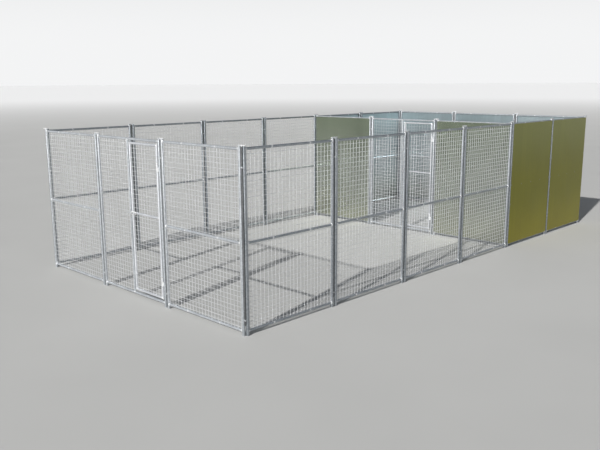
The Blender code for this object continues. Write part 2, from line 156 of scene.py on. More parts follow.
# Tubes: their sides, rounded rims and coped ends, and the sections that their patches of zinc need
TUBE_SIDES = 24
RIM_ROUND = 0.0007
FOOT_CAP_DEPTH = 0.006
COPE_SINK = 0.0008
COPE_SPACE = 0.01
RAIL_END_MARK = 0.03
LATCH_POST_END_SPACE = 0.02
LATCH_POST_MARKS = (0.08, LEAF_MID_HEIGHT, 1.74)
STATION_STEPS = (-0.05, -0.02, 0.0, 0.02, 0.05)
LEAF_STATIONS = (0.02, 0.05)
ROD_STATIONS = (0.10, 0.05)
PATCH_REACH = 0.040

# Welds: the rolls' radii and steps, and how far welded pieces bite into each other
BEAD_RADIUS = 0.0027
BEAD_SIDES = 7
BEAD_STEPS = 56
BEAD_RIPPLE = 0.16
BEAD_RIPPLE_LENGTH = 0.0042
BEAD_END_SHARE = 0.45
BEAD_MARK_EVERY = 4
MITRE_BEAD_RADIUS = 0.0019
TACK_POSITIONS = (0.285, 0.715)
TACK_RADIUS = 0.0019
LUG_BEAD_RADIUS = 0.0018
HANDLE_BEAD_RADIUS = 0.0011
ROD_BEAD_RADIUS = 0.0012
BITE = 0.001

# Straight beads: step, points and radius
WING_BEAD = (0.0011, 41, 0.0016)
SADDLE_BEAD = (0.001, 21, 0.0017)
GUIDE_BEAD = (0.001, 17, 0.0015)

# Plates: the hinges' wings, the keeper's saddle and the latch plate
WING_LENGTH = BARREL_LENGTH - 0.004
WING_CORNER = 0.0012
SADDLE_LENGTH = KEEPER_LENGTH - 0.004
SADDLE_CORNER = 0.001
LATCH_PLATE_START = 0.002
LATCH_PLATE_CORNER = 0.005
GUIDE_SINK = 0.0015

# Broken edges and the sides of small round pieces
LUG_EDGE = 0.0006
LUG_STEPS = 36
BARREL_EDGE = 0.0008
BARREL_SIDES = 28
PLATE_EDGE = 0.0006
PLATE_CORNER_STEPS = 4
HANDLE_SIDES = 16
HANDLE_BEND_STEPS = 8
HANDLE_BEAD_STEPS = 40
ROD_HANDLE_SIDES = 18
ROD_BEAD_STEPS = 36
ROD_BEAD_FOOT = -0.73

# Angles in degrees above which an edge stays sharp
CREASE = 38
SHEET_CREASE = 30
RIVET_CREASE = 50
WELD_CREASE = 60

# Values that follow from the sizes above
HINGE_X = PANEL_WIDTH - POST_RADIUS - LEAF_SIDE_GAP / 2
HINGE_Y = -(POST_RADIUS + BARREL_STANDOFF)
LEAF_LEFT = FIXED_WIDTH + LATCH_POST_RADIUS + LEAF_SIDE_GAP + LEAF_TUBE_RADIUS
LEAF_RIGHT = PANEL_WIDTH - POST_RADIUS - LEAF_SIDE_GAP - LEAF_TUBE_RADIUS
LEAF_INSET = RAIL_RADIUS + LEAF_END_GAP + LEAF_TUBE_RADIUS
LEAF_BOTTOM = BOTTOM_RAIL_HEIGHT + LEAF_INSET
LEAF_TOP = TOP_RAIL_HEIGHT - LEAF_INSET
BOLT_Y = -(LATCH_POST_RADIUS + BOLT_STANDOFF + BOLT_RADIUS)
BOLT_BORE_RADIUS = BOLT_RADIUS + BOLT_CLEARANCE
BOLT_TIP_X = FIXED_WIDTH + KEEPER_LENGTH / 2 + BOLT_TIP_GAP
FIRST_GUIDE_X = LEAF_LEFT - LEAF_TUBE_RADIUS + GUIDE_START
GUIDE_SPAN = BOLT_TRAVEL + 2 * HANDLE_RADIUS + 2 * HANDLE_SPACE
SECOND_GUIDE_X = FIRST_GUIDE_X + GUIDE_LENGTH + GUIDE_SPAN
HANDLE_X = SECOND_GUIDE_X - HANDLE_SPACE - HANDLE_RADIUS
BOLT_TAIL_X = SECOND_GUIDE_X + GUIDE_LENGTH + BOLT_TRAVEL + BOLT_TAIL
LUG_REACH = ROD_OFFSET + LUG_RADIUS
SHEET_FACE = -(POST_RADIUS + TOUCH_GAP)
RAIL_HEIGHTS = (BOTTOM_RAIL_HEIGHT, MID_RAIL_HEIGHT, TOP_RAIL_HEIGHT)
MESH_ROWS = [
    MID_RAIL_HEIGHT + (i + 0.5) * MESH_PITCH for i in range(-MESH_HALF_ROWS, MESH_HALF_ROWS)
]


def even_angles(count):
    return [math.tau * i / count for i in range(count)]


class Surface:
    """The points and faces of one piece, gathered before they become a mesh."""

    def __init__(self):
        self.points = []
        self.faces = []
        self.welds = []

    def join(self, rings, closed=False):
        """Rings of points joined in turn; one point ends in a fan, an open ring in a cap."""
        starts = []
        for ring in rings:
            starts.append(len(self.points))
            self.points.extend(ring)
        pairs = list(zip(range(len(rings)), range(1, len(rings))))
        if closed:
            pairs.append((len(rings) - 1, 0))
        for a, b in pairs:
            self._band(starts[a], len(rings[a]), starts[b], len(rings[b]))
        if not closed:
            for index in (0, len(rings) - 1):
                start, count = starts[index], len(rings[index])
                if count > 1:
                    self.faces.append(tuple(range(start, start + count)))

    def _band(self, a, count_a, b, count_b):
        count = max(count_a, count_b)
        for i in range(count):
            j = (i + 1) % count
            if count_a == 1:
                self.faces.append((a, b + j, b + i))
            elif count_b == 1:
                self.faces.append((a + i, a + j, b))
            else:
                self.faces.append((a + i, a + j, b + j, b + i))

    def turned(self, profile, place=None, sides=TUBE_SIDES, closed=False):
        """A profile of (radius, height) pairs turned about the Z axis of the matrix place."""
        place = place or Matrix()
        rings = []
        for radius, height in profile:
            angles = even_angles(sides) if radius > 0 else [0.0]
            rings.append([
                place @ Vector((radius * math.cos(a), radius * math.sin(a), height)) for a in angles
            ])
        self.join(rings, closed)

    def swept(self, path, normals, radii, sides, closed=False):
        """A round section carried along a path; each normal points off the path at its point."""
        rings = []
        count = len(path)
        for i, point in enumerate(path):
            before = path[i - 1] if closed or i else point
            after = path[(i + 1) % count] if closed or i < count - 1 else point
            along = (after - before).normalized()
            side = (normals[i] - along * normals[i].dot(along)).normalized()
            across = along.cross(side)
            rings.append([
                point + radii[i] * (math.cos(a) * side + math.sin(a) * across)
                for a in even_angles(sides)
            ])
        self.join(rings, closed)

    def bead(self, path, normals, closed=False, radius=BEAD_RADIUS):
        """A weld bead: a thin rippled roll along a path."""
        lengths = [0.0]
        for a, b in zip(path, path[1:]):
            lengths.append(lengths[-1] + (b - a).length)
        total = lengths[-1] + ((path[0] - path[-1]).length if closed else 0.0)
        ripples = max(1, round(total / BEAD_RIPPLE_LENGTH))
        radii = [
            radius * (1 + BEAD_RIPPLE * math.sin(math.tau * ripples * length / total))
            for length in lengths
        ]
        if not closed:
            radii[0] = radii[-1] = radius * BEAD_END_SHARE
        self.swept(path, normals, radii, BEAD_SIDES, closed)
        self.welds.extend(path[::BEAD_MARK_EVERY])

    def straight_bead(self, start, along, normal, step, count, radius):
        """A bead along a straight line of even steps."""
        path = [start + along * (step * i) for i in range(count)]
        self.bead(path, [normal] * count, radius=radius)

    def mesh(self, name, crease=CREASE):
        """The finished mesh, smooth apart from creases, with how near each point is to a weld."""
        mesh = bpy.data.meshes.new(name)
        mesh.from_pydata([tuple(p) for p in self.points], [], self.faces)
        bm = bmesh.new()
        bm.from_mesh(mesh)
        bmesh.ops.recalc_face_normals(bm, faces=bm.faces)
        bm.to_mesh(mesh)
        bm.free()
        mesh.shade_smooth()
        mesh.set_sharp_from_angle(angle=math.radians(crease))
        near = mesh.attributes.new("weld", "FLOAT", "POINT")
        near.data.foreach_set("value", self._nearness())
        return mesh

    def _nearness(self):
        points = np.array([tuple(p) for p in self.points])
        nearest = np.full(len(points), np.inf)
        for weld in self.welds:
            nearest = np.minimum(nearest, np.linalg.norm(points - np.array(tuple(weld)), axis=1))
        return np.clip(1 - nearest / PATCH_REACH, 0, 1).astype(np.float32)


def turned_to(start, direction):
    """A matrix whose origin is start and whose Z axis is the direction."""
    turn = Vector(direction).to_track_quat("Z", "Y").to_matrix().to_4x4()
    return Matrix.Translation(Vector(start)) @ turn


def stations(start, end, marks):
    """Places along a tube, closer together round each mark so that its patch of zinc shows."""
    places = {start, end}
    for mark in marks:
        for step in STATION_STEPS:
            if start < mark + step < end:
                places.add(mark + step)
    return sorted(places)


def add_posts(surface):
    """Two tubes standing on end, their rims rounded and their ends closed a little inside."""
    top = POST_HEIGHT
    inner = POST_RADIUS - TUBE_WALL
    rim = ((inner + RIM_ROUND / 2, 0.0), (POST_RADIUS - RIM_ROUND, 0.0))
    heights = stations(RIM_ROUND, top - RIM_ROUND, [*RAIL_HEIGHTS, *LUG_HEIGHTS])
    profile = [(0.0, FOOT_CAP_DEPTH), (inner, FOOT_CAP_DEPTH), (inner, RIM_ROUND), *rim]
    profile += [(POST_RADIUS, z) for z in heights]
    profile += [(radius, top) for radius, _ in reversed(rim)]
    profile += [(inner, top - RIM_ROUND), (inner * 0.96, top - 0.0022)]
    profile += [(inner * 0.6, top - 0.0012), (0.0, top - 0.0009)]
    for x in (0.0, PANEL_WIDTH):
        surface.turned(profile, Matrix.Translation((x, 0, 0)))


def saddle(radius, post_radius, sides):
    """How far a coped tube's end stands off the post's centre line, at each of its sides."""
    return [
        math.sqrt(max(0.0, post_radius ** 2 - (radius * math.cos(angle)) ** 2))
        for angle in even_angles(sides)
    ]


def add_coped_tube(surface, start, middle, end, radius, point):
    """A tube between two coped ends; point places what is so far along, across and off it."""
    rings = []
    for reaches in [start, *([place] * TUBE_SIDES for place in middle), end]:
        rings.append([
            point(reach, radius * math.cos(angle), radius * math.sin(angle))
            for reach, angle in zip(reaches, even_angles(TUBE_SIDES))
        ])
    surface.join(rings)


def add_rail(surface, left, right, height, radius=RAIL_RADIUS, post_radius=POST_RADIUS, tacks=()):
    """A level tube coped to the posts at its ends; tacks are where welds show on it."""
    reaches = [x + COPE_SINK for x in saddle(radius, post_radius - 2 * COPE_SINK, TUBE_SIDES)]
    marks = [left + RAIL_END_MARK, right - RAIL_END_MARK, *tacks]
    middle = stations(left + post_radius + COPE_SPACE, right - post_radius - COPE_SPACE, marks)
    add_coped_tube(
        surface, [left + x for x in reaches], middle, [right - x for x in reaches], radius,
        lambda along, across, off: Vector((along, across, height + off)),
    )
    surface.welds.extend(Vector((x, 0, height)) for x in tacks)


def add_saddle_bead(surface, centre, along, radius, post_radius):
    """The bead round a tube where it meets another; the tube runs from centre along a unit axis."""
    centre, along = Vector(centre), Vector(along)
    off = Vector((abs(along.z), 0, abs(along.x)))
    outs = [Vector((0, math.cos(a), 0)) + math.sin(a) * off for a in even_angles(BEAD_STEPS)]
    reaches = saddle(radius, post_radius, BEAD_STEPS)
    path = [centre + along * reach + radius * out for reach, out in zip(reaches, outs)]
    surface.bead(path, outs, closed=True)


def add_rail_beads(surface, left, right, height, radius=RAIL_RADIUS, post_radius=POST_RADIUS):
    for x, way in ((left, 1), (right, -1)):
        add_saddle_bead(surface, (x, 0, height), (way, 0, 0), radius, post_radius)


def weld_marks(heights, xs=(POST_RADIUS, PANEL_WIDTH - POST_RADIUS)):
    return [Vector((x, 0, z)) for x in xs for z in heights]


def posts_mesh():
    surface = Surface()
    add_posts(surface)
    surface.welds += weld_marks(RAIL_HEIGHTS)
    return surface.mesh("posts")


def gate_posts_mesh():
    """The gate frame's two posts and, between its rails, the thinner latch post."""
    surface = Surface()
    add_posts(surface)
    reaches = saddle(LATCH_POST_RADIUS, RAIL_RADIUS - COPE_SINK, TUBE_SIDES)
    low = BOTTOM_RAIL_HEIGHT + LATCH_POST_END_SPACE
    high = TOP_RAIL_HEIGHT - LATCH_POST_END_SPACE
    add_coped_tube(
        surface, [BOTTOM_RAIL_HEIGHT + z for z in reaches], stations(low, high, LATCH_POST_MARKS),
        [TOP_RAIL_HEIGHT - z for z in reaches], LATCH_POST_RADIUS,
        lambda along, across, off: Vector((FIXED_WIDTH + off, across, along)),
    )
    edges = (POST_RADIUS, PANEL_WIDTH - POST_RADIUS, FIXED_WIDTH)
    surface.welds += weld_marks((BOTTOM_RAIL_HEIGHT, TOP_RAIL_HEIGHT), edges)
    return surface.mesh("gate_posts")


def rails_mesh(heights, tacks=()):
    surface = Surface()
    for height in heights:
        add_rail(surface, 0.0, PANEL_WIDTH, height, tacks=tacks)
        surface.welds += weld_marks([height])
    return surface.mesh("rails")


def add_tacks(surface, height):
    """A short bead across the front and the back of a rail at each place its mesh is tacked."""
    for share in TACK_POSITIONS:
        centre = Vector((share * PANEL_WIDTH, 0, height))
        for side in (-1, 1):
            angles = [math.radians(a) for a in range(-60, 61, 10)]
            outs = [Vector((0, side * math.cos(a), math.sin(a))) for a in angles]
            surface.bead([centre + RAIL_RADIUS * out for out in outs], outs, radius=TACK_RADIUS)


def panel_welds():
    """The beads at the ends of a panel's rails, and the tacks on them."""
    surface = Surface()
    for height in RAIL_HEIGHTS:
        add_rail_beads(surface, 0.0, PANEL_WIDTH, height)
    for height in RAIL_HEIGHTS:
        add_tacks(surface, height)
    return surface.mesh("welds", WELD_CREASE)


def gate_welds():
    """Beads of a gate frame: rails to posts, and the latch post to the rails."""
    surface = Surface()
    for height in (BOTTOM_RAIL_HEIGHT, TOP_RAIL_HEIGHT):
        add_rail_beads(surface, 0.0, PANEL_WIDTH, height)
    for height, up in ((BOTTOM_RAIL_HEIGHT, 1), (TOP_RAIL_HEIGHT, -1)):
        centre = (FIXED_WIDTH, 0, height)
        add_saddle_bead(surface, centre, (0, 0, up), LATCH_POST_RADIUS, RAIL_RADIUS)
    return surface.mesh("gate_welds", WELD_CREASE)


def add_wire(surface, start, end):
    """One straight length of wire."""
    start, end = Vector(start), Vector(end)
    profile = [(WIRE_RADIUS, 0.0), (WIRE_RADIUS, (end - start).length)]
    surface.turned(profile, turned_to(start, end - start), WIRE_SIDES)


def add_nugget(surface, x, z):
    """The squashed spot where two crossing wires are welded."""
    corners = ((1, 1), (-1, 1), (-1, -1), (1, -1))
    ring = [Vector((x + NUGGET_WIDTH * dx, 0, z + NUGGET_WIDTH * dz)) for dx, dz in corners]
    front, back = Vector((x, -NUGGET_DEPTH, z)), Vector((x, NUGGET_DEPTH, z))
    surface.join([[front], ring, [back]])


def add_end_tack(surface, x, z, towards):
    """The small blob that holds a wire's end to its tube."""
    surface.turned(END_TACK_PROFILE, turned_to((x, 0, z), towards), WIRE_SIDES)


def mesh_columns(left, right):
    """Places of the upright wires: whole cells, centred in the bay."""
    cells = int((right - left - 2 * WIRE_EDGE_SPACE) / MESH_PITCH)
    middle = (left + right) / 2
    return [middle + (i - cells / 2) * MESH_PITCH for i in range(cells + 1)]


def welded_mesh(left, right, low, high, skip=None):
    """Crossing wires that fill a bay between its clear edges; skip is a bar that hides a row."""
    surface = Surface()
    columns = mesh_columns(left, right)
    rows = [z for z in MESH_ROWS if low + WIRE_EDGE_SPACE < z < high - WIRE_EDGE_SPACE]
    if skip:
        rows = [z for z in rows if abs(z - skip[0]) > skip[1] + WIRE_RADIUS]
    offset = WIRE_RADIUS - WIRE_SINK
    for x in columns:
        add_wire(surface, (x, -offset, low - WIRE_BITE), (x, -offset, high + WIRE_BITE))
    for z in rows:
        add_wire(surface, (left - WIRE_BITE, offset, z), (right + WIRE_BITE, offset, z))
    for x in columns:
        for z in rows:
            add_nugget(surface, x, z)
    for x in columns[::2]:
        add_end_tack(surface, x, low, (0, 0, 1))
        add_end_tack(surface, x, high, (0, 0, -1))
    for z in rows[::2]:
        add_end_tack(surface, left, z, (1, 0, 0))
        add_end_tack(surface, right, z, (-1, 0, 0))
    return surface.mesh("welded_mesh", WELD_CREASE)


def add_lug(surface, post_x, outward, level, height):
    """A drilled lug with a round nose and broken edges, welded to a post."""
    bottom = height + level * (LUG_THICKNESS + LUG_SPACE)
    top = bottom + LUG_THICKNESS
    centre = Vector((post_x + outward * ROD_OFFSET, 0, 0))
    root = ROD_OFFSET - POST_RADIUS + BITE
    slope = math.asin((LUG_RADIUS - LUG_ROOT_HALF) / root)
    flank_start = math.pi / 2 + slope
    hole, edge = LUG_HOLE_RADIUS, LUG_EDGE
    rings = []
    for angle in even_angles(LUG_STEPS):
        away = abs(math.remainder(angle, math.tau))
        reach = LUG_RADIUS
        if away > flank_start:
            reach = min(LUG_RADIUS / math.cos(away - flank_start), root / -math.cos(away))
        out = Vector((outward * math.cos(angle), math.sin(angle), 0))
        section = (
            (hole + edge, bottom), (reach - edge, bottom), (reach, bottom + edge),
            (reach, top - edge), (reach - edge, top), (hole + edge, top),
            (hole, top - edge), (hole, bottom + edge),
        )
        rings.append([centre + out * r + Vector((0, 0, z)) for r, z in section])
    surface.join(rings, closed=True)
    angles = [math.radians(a) for a in range(-22, 23, 4)]
    outs = [Vector((outward * math.cos(a), math.sin(a), 0)) for a in angles]
    for z, up in ((bottom, -1), (top, 1)):
        path = [Vector((post_x, 0, z)) + out * POST_RADIUS for out in outs]
        surface.bead(path, [Vector((0, 0, up))] * len(path), radius=LUG_BEAD_RADIUS)


def lugs_mesh(left_level, right_level):
    surface = Surface()
    for height in LUG_HEIGHTS:
        add_lug(surface, 0.0, -1, left_level, height)
        add_lug(surface, PANEL_WIDTH, 1, right_level, height)
    return surface.mesh("lugs")


def sheet_mesh(seed):
    """A flat sheet that stands a little proud between its rails, each one in its own way."""
    rng = random.Random(seed)
    waves = [
        (rng.uniform(0.4, 1.0), rng.uniform(0.7, 1.6), rng.uniform(0, math.tau))
        for _ in range(SHEET_WAVES)
    ]
    bays = list(zip(RAIL_HEIGHTS, RAIL_HEIGHTS[1:]))
    xs = [PANEL_WIDTH * i / SHEET_COLUMNS for i in range(SHEET_COLUMNS + 1)]
    zs = [
        low + (high - low) * i / SHEET_BAY_ROWS for low, high in bays for i in range(SHEET_BAY_ROWS)
    ]

    def bulge(x, z):
        low, high = bays[0] if z < MID_RAIL_HEIGHT else bays[1]
        across = math.sin(math.pi * x / PANEL_WIDTH) ** 2
        upwards = math.sin(math.pi * (z - low) / (high - low))
        swell = 0.0
        for weight, pace, phase in waves:
            swell += weight * math.sin(pace * (7.0 * x + 5.2 * z) + phase)
            swell += weight * math.sin(pace * (3.1 * x - 8.3 * z) + 2 * phase)
        return SHEET_BULGE * across * upwards * (0.5 + 0.5 * math.tanh(0.5 * swell))

    surface = Surface()
    rings = []
    for z in [*zs, TOP_RAIL_HEIGHT]:
        front = [Vector((x, SHEET_FACE - SHEET_THICKNESS - bulge(x, z), z)) for x in xs]
        back = [Vector((p.x, p.y + SHEET_THICKNESS, z)) for p in reversed(front)]
        rings.append(front + back)
    surface.join(rings)
    return surface.mesh("sheet", SHEET_CREASE)


def even_places(start, end, pitch):
    count = max(1, round((end - start) / pitch))
    return [start + (end - start) * i / count for i in range(count + 1)]


def rivets_mesh():
    """Domed rivets round a sheet's edge and along its middle rail."""
    surface = Surface()
    profile = [(0.0, -RIVET_RIM), (RIVET_RADIUS, 0.0), (RIVET_RADIUS, RIVET_RIM)]
    profile += [
        (RIVET_RADIUS * math.cos(a), RIVET_RIM + RIVET_HEIGHT * math.sin(a))
        for a in (math.radians(25), math.radians(50), math.radians(72))
    ]
    profile.append((0.0, RIVET_RIM + RIVET_HEIGHT))
    left, right = RIVET_INSET, PANEL_WIDTH - RIVET_INSET
    low, high = BOTTOM_RAIL_HEIGHT + RIVET_RAIL_INSET, TOP_RAIL_HEIGHT - RIVET_RAIL_INSET
    spots = {(x, z) for x in (left, right) for z in even_places(low, high, RIVET_PITCH)}
    spots |= {
        (x, z) for z in (low, MID_RAIL_HEIGHT, high) for x in even_places(left, right, RIVET_PITCH)
    }
    for x, z in sorted(spots):
        place = turned_to((x, SHEET_FACE - SHEET_THICKNESS, z), (0, -1, 0))
        surface.turned(profile, place, RIVET_SIDES)
    return surface.mesh("rivets", RIVET_CREASE)


def add_barrel(surface, place, length, radius, bore):
    """A short tube with broken edges."""
    edge, inner_edge = BARREL_EDGE, BARREL_EDGE / 2
    profile = [
        (radius - edge, 0.0), (radius, edge), (radius, length - edge), (radius - edge, length),
        (bore + inner_edge, length), (bore, length - inner_edge),
        (bore, inner_edge), (bore + inner_edge, 0.0),
    ]
    surface.turned(profile, place, BARREL_SIDES, closed=True)


def rounded_outline(width, height, corner):
    """A rectangle with round corners about the origin."""
    points = []
    for turn, (sx, sy) in enumerate(((1, 1), (-1, 1), (-1, -1), (1, -1))):
        x, y = (width / 2 - corner) * sx, (height / 2 - corner) * sy
        for i in range(PLATE_CORNER_STEPS + 1):
            angle = math.pi / 2 * (turn + i / PLATE_CORNER_STEPS)
            points.append((x + corner * math.cos(angle), y + corner * math.sin(angle)))
    return points


def add_plate(surface, place, width, height, thickness, corner):
    """A flat plate with round corners and broken edges; place is at its middle, Z its thickness."""
    half, edge = thickness / 2, PLATE_EDGE
    rings = []
    for depth, inset in ((-half, edge), (-half + edge, 0), (half - edge, 0), (half, edge)):
        outline = rounded_outline(width - 2 * inset, height - 2 * inset, corner)
        rings.append([place @ Vector((x, y, depth)) for x, y in outline])
    surface.join(rings)


def add_hinge_leaf(surface, bottom, tube_x, tube_radius):
    """A hinge barrel and the wing that holds it to its tube, with beads where the wing ends."""
    axis = Vector((HINGE_X, HINGE_Y, bottom))
    up = Vector((0, 0, 1))
    add_barrel(surface, Matrix.Translation(axis), BARREL_LENGTH, BARREL_RADIUS, BARREL_BORE_RADIUS)
    across = Vector((tube_x, 0, bottom)) - axis
    near = BARREL_RADIUS - BITE
    far = across.length - tube_radius + BITE
    along = across.normalized()
    face = up.cross(along)
    middle = axis + along * (near + far) / 2 + up * BARREL_LENGTH / 2
    turn = Matrix((along, up, -face)).transposed().to_4x4()
    place = Matrix.Translation(middle) @ turn
    add_plate(surface, place, far - near, WING_LENGTH, WING_THICKNESS, WING_CORNER)
    for reach in (near + 0.0006, far - 0.0006):
        for side in (-1, 1):
            start = axis + along * reach + face * side * WING_THICKNESS / 2 + up * 0.003
            surface.straight_bead(start, up, face * side, *WING_BEAD)


def hinges_mesh(name, rise, tube_x, tube_radius):
    """One side's barrels of a gate's two hinges; rise is from a hinge's height to its barrel."""
    surface = Surface()
    for z in HINGE_HEIGHTS:
        add_hinge_leaf(surface, z + rise, tube_x, tube_radius)
    return surface.mesh(name)


def hinge_pin(z):
    """A pin with a domed head, its lower end rounded."""
    surface = Surface()
    seat = BARREL_LENGTH + 2 * TOUCH_GAP
    foot = -BARREL_LENGTH - HINGE_PIN_TAIL
    top = seat + HINGE_PIN_HEAD_HEIGHT
    r, head = HINGE_PIN_RADIUS, HINGE_PIN_HEAD_RADIUS
    profile = [(0, foot), (r * 0.6, foot + 0.0004), (r * 0.92, foot + 0.0012), (r, foot + 0.0024)]
    profile += [(r, seat), (head - 0.0005, seat), (head, seat + 0.0006), (head, top - 0.0018)]
    profile += [(head * 0.88, top - 0.0008), (head * 0.6, top - 0.0002), (0, top)]
    surface.turned(profile, Matrix.Translation((HINGE_X, HINGE_Y, z)))
    return surface.mesh("hinge_pin")


def along_bolt(x):
    return turned_to((x, BOLT_Y, LEAF_MID_HEIGHT), (1, 0, 0))


def facing_front(x, y):
    """A matrix at the latch's height whose Z axis points along -Y."""
    return Matrix.Translation((x, y, LEAF_MID_HEIGHT)) @ Matrix.Rotation(math.pi / 2, 4, "X")


def keeper_mesh():
    """The latch post's keeper on its saddle block."""
    surface = Surface()
    start = along_bolt(FIXED_WIDTH - KEEPER_LENGTH / 2)
    add_barrel(surface, start, KEEPER_LENGTH, BOLT_BARREL_RADIUS, BOLT_BORE_RADIUS)
    back = -(LATCH_POST_RADIUS - BITE)
    front = BOLT_Y + BOLT_BARREL_RADIUS - BITE
    place = facing_front(FIXED_WIDTH, (back + front) / 2)
    add_plate(surface, place, SADDLE_LENGTH, SADDLE_HEIGHT, back - front, SADDLE_CORNER)
    for side in (-1, 1):
        z = LEAF_MID_HEIGHT + side * SADDLE_HEIGHT / 2
        start = Vector((FIXED_WIDTH - 0.010, -LATCH_POST_RADIUS - 0.0002, z))
        surface.straight_bead(start, Vector((1, 0, 0)), Vector((0, 0, side)), *SADDLE_BEAD)
    return surface.mesh("keeper")


def leaf_corners():
    """The mitred corners of the leaf in turn, each with the way its mitre faces."""
    ways = ((1, 1), (-1, 1), (-1, -1), (1, -1))
    xs, zs = {1: LEAF_RIGHT, -1: LEAF_LEFT}, {1: LEAF_TOP, -1: LEAF_BOTTOM}
    return [(Vector((xs[dx], 0, zs[dz])), Vector((dx, 0, dz))) for dx, dz in ways]


def leaf_ring(centre, outward, sides=TUBE_SIDES):
    front = Vector((0, 1, 0))
    return [
        centre + LEAF_TUBE_RADIUS * (math.cos(a) * front + math.sin(a) * outward)
        for a in even_angles(sides)
    ]


def leaf_tube():
    """The mitred tube round the leaf and the bar across its middle."""
    surface = Surface()
    corners = leaf_corners()
    rings = []
    for (start, facing), (end, next_facing) in zip(corners, corners[1:] + corners[:1]):
        rings.append(leaf_ring(start, facing))
        side = (facing + next_facing) / 2
        along = (end - start).normalized()
        length = (end - start).length
        ends = [length - place for place in reversed(LEAF_STATIONS)]
        places = [*LEAF_STATIONS, 0.5 * length, *ends]
        rings += [leaf_ring(start + along * place, side) for place in places]
    surface.join(rings, closed=True)
    add_rail(surface, LEAF_LEFT, LEAF_RIGHT, LEAF_MID_HEIGHT, LEAF_BAR_RADIUS, LEAF_TUBE_RADIUS)
    bar_ends = (LEAF_LEFT + 0.012, LEAF_RIGHT - 0.012)
    surface.welds += weld_marks([LEAF_MID_HEIGHT], bar_ends)
    surface.welds += [corner for corner, facing in corners]
    return surface.mesh("leaf_tube")


def leaf_welds():
    """The beads round the leaf's mitres and round the ends of its bar."""
    surface = Surface()
    tubes = (LEAF_BAR_RADIUS, LEAF_TUBE_RADIUS)
    add_rail_beads(surface, LEAF_LEFT, LEAF_RIGHT, LEAF_MID_HEIGHT, *tubes)
    for corner, facing in leaf_corners():
        path = leaf_ring(corner, facing, BEAD_STEPS)
        normals = [(point - corner).normalized() for point in path]
        surface.bead(path, normals, closed=True, radius=MITRE_BEAD_RADIUS)
    return surface.mesh("leaf_welds", WELD_CREASE)


def latch_mesh():
    """The leaf's plate with the two guides of the bolt."""
    surface = Surface()
    back = -(LEAF_TUBE_RADIUS - BITE)
    front = BOLT_Y + BOLT_BARREL_RADIUS - GUIDE_SINK
    left = FIRST_GUIDE_X + LATCH_PLATE_START
    right = SECOND_GUIDE_X + GUIDE_LENGTH + LATCH_PLATE_MARGIN
    place = facing_front((left + right) / 2, (back + front) / 2)
    size = (right - left, LATCH_PLATE_HEIGHT, back - front, LATCH_PLATE_CORNER)
    add_plate(surface, place, *size)
    for x in (FIRST_GUIDE_X, SECOND_GUIDE_X):
        add_barrel(surface, along_bolt(x), GUIDE_LENGTH, BOLT_BARREL_RADIUS, BOLT_BORE_RADIUS)
        for side in (-1, 1):
            start = Vector((x + 0.001, front - 0.0008, LEAF_MID_HEIGHT + side * 0.0072))
            surface.straight_bead(start, Vector((1, 0, 0)), Vector((0, -1, 0)), *GUIDE_BEAD)
    return surface.mesh("latch")


def bolt_mesh():
    """The slide bolt: a round bar with a tapered tip and a bent handle with a rounded end."""
    surface = Surface()
    r, h, z = BOLT_RADIUS, HANDLE_RADIUS, LEAF_MID_HEIGHT
    length = BOLT_TAIL_X - BOLT_TIP_X
    profile = [(0, 0), (r * 0.62, 0.0), (r * 0.8, 0.0007), (r, 0.004), (r, length - 0.0015)]
    profile += [(r - 0.0012, length - 0.0003), (0, length)]
    surface.turned(profile, along_bolt(BOLT_TIP_X))
    bend = HANDLE_BEND_RADIUS
    bend_y = BOLT_Y - (HANDLE_REACH - bend)
    path = [Vector((HANDLE_X, BOLT_Y, z)), Vector((HANDLE_X, bend_y, z))]
    for i in range(1, HANDLE_BEND_STEPS + 1):
        angle = math.pi / 2 * i / HANDLE_BEND_STEPS
        y = bend_y - bend * math.sin(angle)
        path.append(Vector((HANDLE_X, y, z - bend + bend * math.cos(angle))))
    foot = z - HANDLE_DROP
    path += [Vector((HANDLE_X, path[-1].y, foot + up)) for up in (0.006, 0.0022, 0.0007, 0.0)]
    radii = [h] * (len(path) - 3) + [h * 0.95, h * 0.78, h * 0.42]
    surface.swept(path, [Vector((1, 0, 0))] * len(path), radii, HANDLE_SIDES)
    outs = [Vector((math.cos(a), 0, math.sin(a))) for a in even_angles(HANDLE_BEAD_STEPS)]
    depths = [math.sqrt(r ** 2 - (h * out.z) ** 2) for out in outs]
    ring = [Vector((HANDLE_X, BOLT_Y - deep, z)) + h * out for deep, out in zip(depths, outs)]
    surface.bead(ring, outs, closed=True, radius=HANDLE_BEAD_RADIUS)
    return surface.mesh("slide_bolt")


